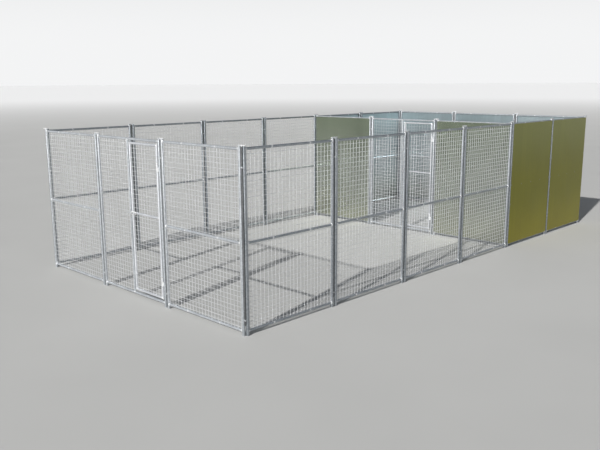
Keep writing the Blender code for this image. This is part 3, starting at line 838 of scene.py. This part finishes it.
def drop_rod_mesh():
    """The rod with its pointed foot, and the cross handle welded near its top."""
    surface = Surface()
    r, h = ROD_RADIUS, ROD_HANDLE_RADIUS
    foot, top = ROD_FOOT_HEIGHT, ROD_TOP_HEIGHT
    profile = [(0, foot), (r * 0.45, foot + 0.0005), (r * 0.7, foot + 0.004), (r, foot + 0.014)]
    profile += [(r, top - place) for place in ROD_STATIONS]
    profile += [(r, top - 0.0012), (r - 0.0012, top - 0.0002), (0, top)]
    surface.turned(profile)
    half = ROD_HANDLE_LENGTH / 2
    z = POST_HEIGHT + TOUCH_GAP + h
    bar = [(0, 0), (h * 0.55, 0.0003), (h * 0.9, 0.0016), (h, 0.0034)]
    bar += [(radius, 2 * half - height) for radius, height in reversed(bar)]
    surface.turned(bar, turned_to((-half, 0, z), (1, 0, 0)), ROD_HANDLE_SIDES)
    surface.welds += weld_marks([z], (-half, half))
    outs = [Vector((0, math.cos(a), math.sin(a))) for a in even_angles(ROD_BEAD_STEPS)]
    outs = [out for out in outs if out.z > ROD_BEAD_FOOT]
    depths = [math.sqrt(r ** 2 - (h * out.y) ** 2) for out in outs]
    for way in (-1, 1):
        path = [Vector((way * deep, 0, z)) + h * 0.96 * out for deep, out in zip(depths, outs)]
        surface.bead(path, outs, radius=ROD_BEAD_RADIUS)
    return surface.mesh("drop_rod")


# Zinc on tubes, wires and small pieces; a noise has a scale, a detail and a stretch
CRYSTALS = 70.0
CLOUDS = (5.0, 4.0, (1, 1, 0.3))
FINE_GRAIN = (380.0, 2.0)
RAGGED_EDGE = (60.0, 4.0)
PATCH_COLOUR = (0.72, 0.73, 0.74)
ZINC_BUMP = 0.10
BUMP_DISTANCE = 0.0006
NOISE_ROUGHNESS = 0.55

# Zinc on sheets
SHEET_CRYSTALS = 60.0
SHEET_CLOUDS = (1.9, 4.0, (1, 1, 0.7))
ROLLING_MARKS = (22.0, 3.0, (1, 1, 0.03))
# Heights where the sheets' painted reflection and painted shade change colour
SHEET_TOP_FADE = (1.75, 0.85)
SHEET_FOOT_FADE = (0.80, 0.05)
SHEET_SHADE = (0.86, 0.86, 0.86)
SPANGLE_SHADE = (0.96, 0.96, 0.96)
FULL = (1.0, 1.0, 1.0)
SHEET_METALLIC = 0.92
SHEET_BUMP = 0.01

# Zinc finishes and painted shade: name, light colour, dark colour, how metallic, range of
# roughness, crystals
ZINC_FINISHES_AND_SHADE = {
    "bright_posts": ("bright_post", (0.56, 0.59, 0.62), (0.37, 0.395, 0.42), 0.78, (0.30, 0.37)),
    "bright_rails": ("bright_rail", (0.57, 0.60, 0.63), (0.42, 0.445, 0.47), 0.68, (0.34, 0.42)),
    # The shaded rows are darker copies of the sunlit rows: painted shade for the side walls.
    "dull_posts": ("dull_post", (0.42, 0.45, 0.48), (0.26, 0.285, 0.31), 0.90, (0.29, 0.34)),
    "dull_rails": ("dull_rail", (0.42, 0.45, 0.48), (0.28, 0.305, 0.33), 0.82, (0.31, 0.38)),
    "leaf": ("galvanised_leaf", (0.62, 0.64, 0.67), (0.48, 0.50, 0.53), 0.62, (0.38, 0.48)),
    "wire": (
        "galvanised_wire", (0.73, 0.745, 0.76), (0.58, 0.59, 0.605), 0.56, (0.36, 0.46), 160.0),
    "weld": ("zinc_painted_weld", (0.82, 0.83, 0.84), (0.66, 0.67, 0.69), 0.50, (0.45, 0.60)),
    "lug": ("galvanised_lug", (0.50, 0.52, 0.55), (0.36, 0.38, 0.41), 0.85, (0.42, 0.54)),
    # The rod's zinc is very dark: painted shade for the narrow notch between two posts where it
    # hangs.
    "rod": ("galvanised_rod", (0.20, 0.205, 0.21), (0.11, 0.115, 0.12), 0.70, (0.50, 0.60)),
    "pin": ("plated_pin", (0.74, 0.74, 0.72), (0.62, 0.62, 0.60), 0.95, (0.20, 0.26), 220.0),
    "bolt": ("plated_bolt", (0.82, 0.82, 0.80), (0.68, 0.68, 0.66), 0.95, (0.20, 0.26), 220.0),
}

# Sheet finishes and painted reflections: name, colour at the top, in the middle and at the foot,
# range of roughness
SHEET_FINISHES_AND_REFLECTIONS = {
    # Outside: olive painted reflection of grass, paler and yellower at the foot
    "outer": ("zinc_sheet_outside_painted_reflection",
              (0.25, 0.26, 0.08), (0.243, 0.236, 0.026), (0.33, 0.30, 0.034), (0.29, 0.36)),
    # Inside: blue-grey painted reflection of sky, darker and greener at the foot, painted shade
    "inner": ("zinc_sheet_inside_painted_light",
              (0.56, 0.66, 0.69), (0.54, 0.61, 0.63), (0.44, 0.48, 0.44), (0.29, 0.36)),
    # Run side of the partition: painted reflection, darker at the top and paler grey-green lower
    # down
    "partition": ("zinc_sheet_run_side_painted_reflection",
                  (0.25, 0.29, 0.215), (0.38, 0.415, 0.355), (0.44, 0.46, 0.37), (0.20, 0.26)),
}


class Nodes:
    """A small helper for building a tree of shader nodes."""

    def __init__(self, tree, coordinate):
        self.nodes = tree.nodes
        self.links = tree.links
        self.place = self.nodes.new("ShaderNodeTexCoord").outputs[coordinate]

    def fill(self, node, inputs):
        """Link each input of a node to a socket, or set it to a number or a tuple."""
        for key, value in inputs.items():
            if isinstance(value, bpy.types.NodeSocket):
                self.links.new(value, node.inputs[key])
            else:
                node.inputs[key].default_value = value
        return node

    def add(self, kind, inputs):
        return self.fill(self.nodes.new(f"ShaderNode{kind}"), inputs)

    def height(self):
        return self.add("SeparateXYZ", {"Vector": self.place}).outputs["Z"]

    def ranged(self, value, low, high, to_low=0.0, to_high=1.0):
        limits = {"From Min": low, "From Max": high, "To Min": to_low, "To Max": to_high}
        node = self.add("MapRange", {"Value": value, **limits})
        node.interpolation_type = "SMOOTHSTEP"
        return node.outputs["Result"]

    def mixed(self, share, first, second, blend="MIX"):
        """Two colours mixed; share is a socket or a number, each colour a socket or a tuple."""
        node = self.nodes.new("ShaderNodeMix")
        node.data_type = "RGBA"
        node.blend_type = blend
        first, second = (
            (*colour, 1.0) if isinstance(colour, tuple) else colour for colour in (first, second)
        )
        return self.fill(node, {0: share, 6: first, 7: second}).outputs[2]


class Paint(Nodes):
    """A small helper for building one procedural material."""

    def __init__(self, name):
        self.material = bpy.data.materials.new(name)
        self.material.use_nodes = True
        super().__init__(self.material.node_tree, "Object")

    def noise(self, scale, detail, stretch=(1, 1, 1)):
        place = self.add("Mapping", {"Vector": self.place, "Scale": stretch})
        settings = {"Scale": scale, "Detail": detail, "Roughness": NOISE_ROUGHNESS}
        node = self.add("TexNoise", {"Vector": place.outputs["Vector"], **settings})
        return node.outputs["Fac"]

    def crystals(self, scale):
        """A random value for each crystal of zinc."""
        cells = self.add("TexVoronoi", {"Vector": self.place, "Scale": scale, "Randomness": 1.0})
        grey = self.add("SeparateColor", {"Color": cells.outputs["Color"]})
        return grey.outputs["Red"]

    def weld(self):
        node = self.nodes.new("ShaderNodeAttribute")
        node.attribute_name = "weld"
        return node.outputs["Fac"]

    def maths(self, operation, a, b):
        node = self.add("Math", {0: a, 1: b})
        node.operation = operation
        node.use_clamp = True
        return node.outputs["Value"]

    def weighed(self, a, weight_a, b, weight_b):
        """The sum of two values, each times its weight."""
        first = self.maths("MULTIPLY", a, weight_a)
        return self.maths("ADD", first, self.maths("MULTIPLY", b, weight_b))

    def finish(self, colour, roughness, metallic=0.0, bump=None, strength=0.0):
        shader = self.nodes["Principled BSDF"]
        self.fill(shader, {"Base Color": colour, "Roughness": roughness, "Metallic": metallic})
        if bump is not None:
            relief = {"Height": bump, "Strength": strength, "Distance": BUMP_DISTANCE}
            normal = self.add("Bump", relief).outputs["Normal"]
            self.fill(shader, {"Normal": normal})
        return self.material


def galvanised(name, light, dark, metallic, rough, crystals=CRYSTALS):
    """Hot-dip zinc: faint crystals, long cloudy runs and brighter zinc paint round the welds."""
    paint = Paint(name)
    crystal = paint.crystals(crystals)
    cloud = paint.noise(*CLOUDS)
    fine = paint.noise(*FINE_GRAIN)
    tone = paint.weighed(crystal, 0.30, cloud, 0.80)
    colour = paint.mixed(paint.ranged(tone, 0.25, 0.90), dark, light)
    ragged = paint.ranged(paint.noise(*RAGGED_EDGE), 0.25, 0.60, 0.6, 1.2)
    patch = paint.ranged(paint.maths("MULTIPLY", paint.weld(), ragged), 0.45, 0.75)
    colour = paint.mixed(patch, colour, PATCH_COLOUR)
    worn = paint.maths("ADD", paint.maths("MULTIPLY", tone, 0.8), patch)
    roughness = paint.ranged(worn, 0.1, 1.2, *rough)
    relief = paint.weighed(crystal, 0.25, fine, 0.6)
    return paint.finish(colour, roughness, metallic, relief, ZINC_BUMP)


def zinc_sheet(name, top, middle, foot, rough):
    """Flat zinc sheet: very faint crystals and upright rolling marks; its colour, set by height, is
    painted reflection and painted shade.
    """
    paint = Paint(name)
    crystal = paint.crystals(SHEET_CRYSTALS)
    cloud = paint.noise(*SHEET_CLOUDS)
    marks = paint.noise(*ROLLING_MARKS)
    tone = paint.weighed(cloud, 0.64, marks, 0.34)
    # Painted reflection and painted shade: the colour blends by height from top to middle to foot
    colour = paint.mixed(paint.ranged(paint.height(), *SHEET_TOP_FADE), top, middle)
    colour = paint.mixed(paint.ranged(paint.height(), *SHEET_FOOT_FADE), colour, foot)
    shade = paint.mixed(paint.ranged(tone, 0.28, 0.72), SHEET_SHADE, FULL)
    colour = paint.mixed(1.0, colour, shade, "MULTIPLY")
    colour = paint.mixed(1.0, colour, paint.mixed(crystal, SPANGLE_SHADE, FULL), "MULTIPLY")
    roughness = paint.ranged(tone, 0.25, 0.80, *rough)
    return paint.finish(colour, roughness, SHEET_METALLIC, marks, SHEET_BUMP)


# Quarter turns of each wall, and the layers of a joint that a panel's left and right lugs take
# where they aren't the first and the second
TURNS = {"front": 0, "right": 1, "back": 2, "left": 3, "partition": 0}
LUG_LEVELS = {"partition_sheet_1": (2, 1), "partition_sheet_3": (0, 2)}


def panel_place(label):
    """The matrix that puts a panel's own frame where its node stands."""
    turn = Matrix.Rotation(TURNS[label.split("_")[0]] * math.pi / 2, 4, "Z")
    corners = [turn.inverted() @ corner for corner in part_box(f"{label}_frame")]
    left = min(corner.x for corner in corners) + LUG_REACH
    line = max(corner.y for corner in corners) - POST_RADIUS
    return turn @ Matrix.Translation((left, line, 0))


def add_object(name, data):
    thing = bpy.data.objects.new(name, data)
    bpy.context.scene.collection.objects.link(thing)
    return thing


def add_piece(name, mesh, materials, place, body="kennel", replaces=()):
    piece = add_object(name, mesh)
    piece.matrix_world = place
    for material in materials:
        if material.name not in mesh.materials:
            mesh.materials.append(material)
    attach(piece, body)
    if replaces:
        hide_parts(*replaces)
    return piece


def add_frame_pieces(label, place, meshes, paint):
    """The pieces that every panel has, whatever fills it; the side walls' zinc is a darker copy,
    painted shade.
    """
    kind = "gate" if label.endswith("gate") else "panel"
    # The side walls take the shaded copies of the posts' and rails' zinc: painted shade.
    shine = "dull" if label.startswith(("left", "right")) else "bright"
    for part, replaced in (("posts", [f"{label}_frame"]), ("rails", [])):
        if (kind, part, shine) not in meshes:
            meshes[kind, part, shine] = meshes[kind, part].copy()
        mesh, finish = meshes[kind, part, shine], paint[f"{shine}_{part}"]
        add_piece(f"{label}_{part}", mesh, [finish], place, replaces=replaced)
    add_piece(f"{label}_welds", meshes[kind, "welds"], [paint["weld"]], place)
    levels = LUG_LEVELS.get(label, (0, 1))
    if levels not in meshes:
        meshes[levels] = lugs_mesh(*levels)
    add_piece(f"{label}_lugs", meshes[levels], [paint["lug"]], place)


def add_sheet(label, place, meshes, paint, seed):
    """A sheet whose outer and inner faces each carry their own painted reflection, and its rivets.
    """
    outside = paint["partition" if label.startswith("partition") else "outer"]
    mesh, sides = sheet_mesh(seed), [outside, paint["inner"]]
    skin = [f"{label}_skin"]
    piece = add_piece(f"{label}_sheet", mesh, sides, place, replaces=skin)
    # Each face takes its own painted reflection; inner faces look along +Y
    for face in piece.data.polygons:
        face.material_index = 1 if face.normal.y > 0.5 else 0
    add_piece(f"{label}_rivets", meshes["rivets"], [paint["lug"]], place)


# What a gate's frame carries (piece, mesh, finish), and its leaf (piece and mesh, finish)
GATE_FRAME_PARTS = (
    ("mesh", "fixed_mesh", "wire"), ("frame_hinges", "frame_hinges", "leaf"),
    ("keeper", "keeper", "leaf"),
)
LEAF_PARTS = (
    ("leaf_tube", "leaf"), ("leaf_mesh", "wire"), ("leaf_welds", "weld"), ("leaf_hinges", "leaf"),
    ("latch", "leaf"),
)


def add_gate(label, place, meshes, paint):
    """The fixed bay's mesh and hardware, the leaf with its own, the pins and the bolt."""
    for part, mesh, finish in GATE_FRAME_PARTS:
        add_piece(f"{label}_{part}", meshes[mesh], [paint[finish]], place)
    for part, finish in LEAF_PARTS:
        mesh, zinc = meshes[part], [paint[finish]]
        replaced = [f"{label}_leaf"] if part == "leaf_tube" else []
        add_piece(f"{label}_{part}", mesh, zinc, place, label, replaced)
    for which in ("lower", "upper"):
        pin, zinc = f"{label}_{which}_hinge_pin", [paint["pin"]]
        add_piece(f"{pin}_body", meshes[which], zinc, place, replaces=[pin])
    bolt, body = f"{label}_bolt", label.replace("gate", "bolt")
    add_piece(f"{bolt}_bar", meshes["bolt"], [paint["bolt"]], place, body, [bolt])


def add_drop_rods(mesh, paint):
    for node in sorted(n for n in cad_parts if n.startswith("drop_rod")):
        centre = box_centre(node)
        size = extent(node)
        turn = Matrix.Rotation(math.pi / 2 if size.y > size.x else 0.0, 4, "Z")
        place = Matrix.Translation((centre.x, centre.y, 0)) @ turn
        add_piece(f"{node}_bar", mesh, [paint["rod"]], place, replaces=[node])


def make_meshes():
    """Every mesh that panels share."""
    low, high = BOTTOM_RAIL_HEIGHT + RAIL_RADIUS, TOP_RAIL_HEIGHT - RAIL_RADIUS
    leaf_edges = (
        LEAF_LEFT + LEAF_TUBE_RADIUS, LEAF_RIGHT - LEAF_TUBE_RADIUS,
        LEAF_BOTTOM + LEAF_TUBE_RADIUS, LEAF_TOP - LEAF_TUBE_RADIUS,
    )
    tacks = [share * PANEL_WIDTH for share in TACK_POSITIONS]
    return {
        ("panel", "posts"): posts_mesh(),
        ("panel", "rails"): rails_mesh(RAIL_HEIGHTS, tacks),
        ("panel", "welds"): panel_welds(),
        ("gate", "posts"): gate_posts_mesh(),
        ("gate", "rails"): rails_mesh((BOTTOM_RAIL_HEIGHT, TOP_RAIL_HEIGHT)),
        ("gate", "welds"): gate_welds(),
        "mesh": welded_mesh(POST_RADIUS, PANEL_WIDTH - POST_RADIUS, low, high),
        "fixed_mesh": welded_mesh(POST_RADIUS, FIXED_WIDTH - LATCH_POST_RADIUS, low, high),
        "leaf_mesh": welded_mesh(*leaf_edges, skip=(LEAF_MID_HEIGHT, LEAF_BAR_RADIUS)),
        "frame_hinges": hinges_mesh("frame_hinges", -BARREL_LENGTH, PANEL_WIDTH, POST_RADIUS),
        "leaf_hinges": hinges_mesh("leaf_hinges", TOUCH_GAP, LEAF_RIGHT, LEAF_TUBE_RADIUS),
        "keeper": keeper_mesh(),
        "leaf_tube": leaf_tube(),
        "leaf_welds": leaf_welds(),
        "latch": latch_mesh(),
        "bolt": bolt_mesh(),
        "rivets": rivets_mesh(),
        "lower": hinge_pin(HINGE_HEIGHTS[0]),
        "upper": hinge_pin(HINGE_HEIGHTS[1]),
    }


def dress_kennel():
    paint = {key: galvanised(*finish) for key, finish in ZINC_FINISHES_AND_SHADE.items()}
    paint.update((key, zinc_sheet(*finish)) for key, finish in SHEET_FINISHES_AND_REFLECTIONS.items())
    meshes = make_meshes()
    labels = sorted(n.removesuffix("_frame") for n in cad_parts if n.endswith("_frame"))
    for seed, label in enumerate(labels):
        place = panel_place(label)
        add_frame_pieces(label, place, meshes, paint)
        kind = label.split("_")[1]
        if kind == "mesh":
            add_piece(f"{label}_mesh", meshes["mesh"], [paint["wire"]], place)
        elif kind == "sheet":
            add_sheet(label, place, meshes, paint, seed)
        else:
            add_gate(label, place, meshes, paint)
    add_drop_rods(drop_rod_mesh(), paint)


# The studio: camera, lamps, floor and sky
CAMERA_PLACE = Vector((6.640, -7.898, 2.349))
CAMERA_AZIMUTH = -0.7729
CAMERA_TILT = 0.2003
CAMERA_ROLL = -0.0053
CAMERA_REACH = 4000.0
FOCAL_PIXELS = 697.9
IMAGE_WIDTH = 600
SENSOR_WIDTH = 36.0
LAMP_COLOUR = (1.0, 0.985, 0.96)
SUN_TOWARDS = Vector((0.67, -2.74, 1.80))
SUN_STRENGTH = 4.5
SUN_ANGLE = math.radians(1.2)
STRIP_TOWARDS = Vector((0.67, -2.74, 0.27))
STRIP_STRENGTH = 1.3
STRIP_ANGLE = math.radians(12.0)
FLOOR_SIZE = 3000.0
FLOOR_COLOUR = (0.47, 0.47, 0.46)
FLOOR_CLOUD_SHADE = 0.96
FLOOR_CLOUDS = (0.4, 3.0)
FLOOR_ROUGHNESS = (0.85, 0.95)
FAR_FLOOR_COLOUR = (0.86, 0.86, 0.86)
FLOOR_FADE = (18.0, 110.0)
HORIZON_COLOUR = (0.90, 0.905, 0.91)
SHADE_COLOUR = (0.50, 0.51, 0.52)
ZENITH_COLOUR = (0.15, 0.165, 0.19)
SKY_FADE = (0.05, 0.50)
BRIGHT_SIDE = (-0.92, 0.39)
SIDE_FADE = (-0.60, 0.55)


def add_camera():
    camera = bpy.data.cameras.new("camera")
    camera.sensor_width = SENSOR_WIDTH
    camera.lens = FOCAL_PIXELS * SENSOR_WIDTH / IMAGE_WIDTH
    camera.clip_end = CAMERA_REACH
    view = add_object("camera", camera)
    azimuth, level = CAMERA_AZIMUTH, math.cos(CAMERA_TILT)
    forward = Vector((math.sin(azimuth) * level, math.cos(azimuth) * level, -math.sin(CAMERA_TILT)))
    turn = forward.to_track_quat("-Z", "Y").to_matrix().to_4x4()
    roll = Matrix.Rotation(CAMERA_ROLL, 4, "Z")
    view.matrix_world = Matrix.Translation(CAMERA_PLACE) @ turn @ roll
    bpy.context.scene.camera = view


def add_floor():
    """A pale floor that grows paler far off, where it meets the sky."""
    bm = bmesh.new()
    bmesh.ops.create_grid(bm, x_segments=1, y_segments=1, size=FLOOR_SIZE / 2)
    mesh = bpy.data.meshes.new("floor")
    bm.to_mesh(mesh)
    bm.free()
    floor = add_object("floor", mesh)
    paint = Paint("pale_floor")
    reach = paint.add("VectorMath", {0: paint.place})
    reach.operation = "LENGTH"
    cloud = paint.noise(*FLOOR_CLOUDS)
    dim = tuple(FLOOR_CLOUD_SHADE * c for c in FLOOR_COLOUR)
    near = paint.mixed(paint.ranged(cloud, 0.3, 0.7), dim, FLOOR_COLOUR)
    far = paint.ranged(reach.outputs["Value"], *FLOOR_FADE)
    colour = paint.mixed(far, near, FAR_FLOOR_COLOUR)
    mesh.materials.append(paint.finish(colour, paint.ranged(cloud, 0.3, 0.7, *FLOOR_ROUGHNESS)))


def add_sun(name, towards, strength, angle):
    sun = bpy.data.lights.new(name, "SUN")
    sun.energy = strength
    sun.angle = angle
    sun.color = LAMP_COLOUR
    lamp = add_object(name, sun)
    lamp.rotation_euler = towards.to_track_quat("Z", "Y").to_euler()


def add_world():
    """A studio sky: a bright side, a dim side across from it, and a darker ceiling."""
    world = bpy.data.worlds.new("pale_sky")
    world.use_nodes = True
    bpy.context.scene.world = world
    sky = Nodes(world.node_tree, "Generated")
    towards = sky.add("VectorMath", {0: sky.place, 1: (*BRIGHT_SIDE, 0.0)})
    towards.operation = "DOT_PRODUCT"
    lit = sky.ranged(towards.outputs["Value"], *SIDE_FADE)
    side = sky.mixed(lit, SHADE_COLOUR, HORIZON_COLOUR)
    colour = sky.mixed(sky.ranged(sky.height(), *SKY_FADE), side, ZENITH_COLOUR)
    sky.fill(sky.nodes["Background"], {"Color": colour})


add_camera()
add_floor()
add_sun("sun", SUN_TOWARDS, SUN_STRENGTH, SUN_ANGLE)
add_sun("strip_lamp", STRIP_TOWARDS, STRIP_STRENGTH, STRIP_ANGLE)
add_world()
bpy.context.scene.view_settings.view_transform = "Standard"
dress_kennel()
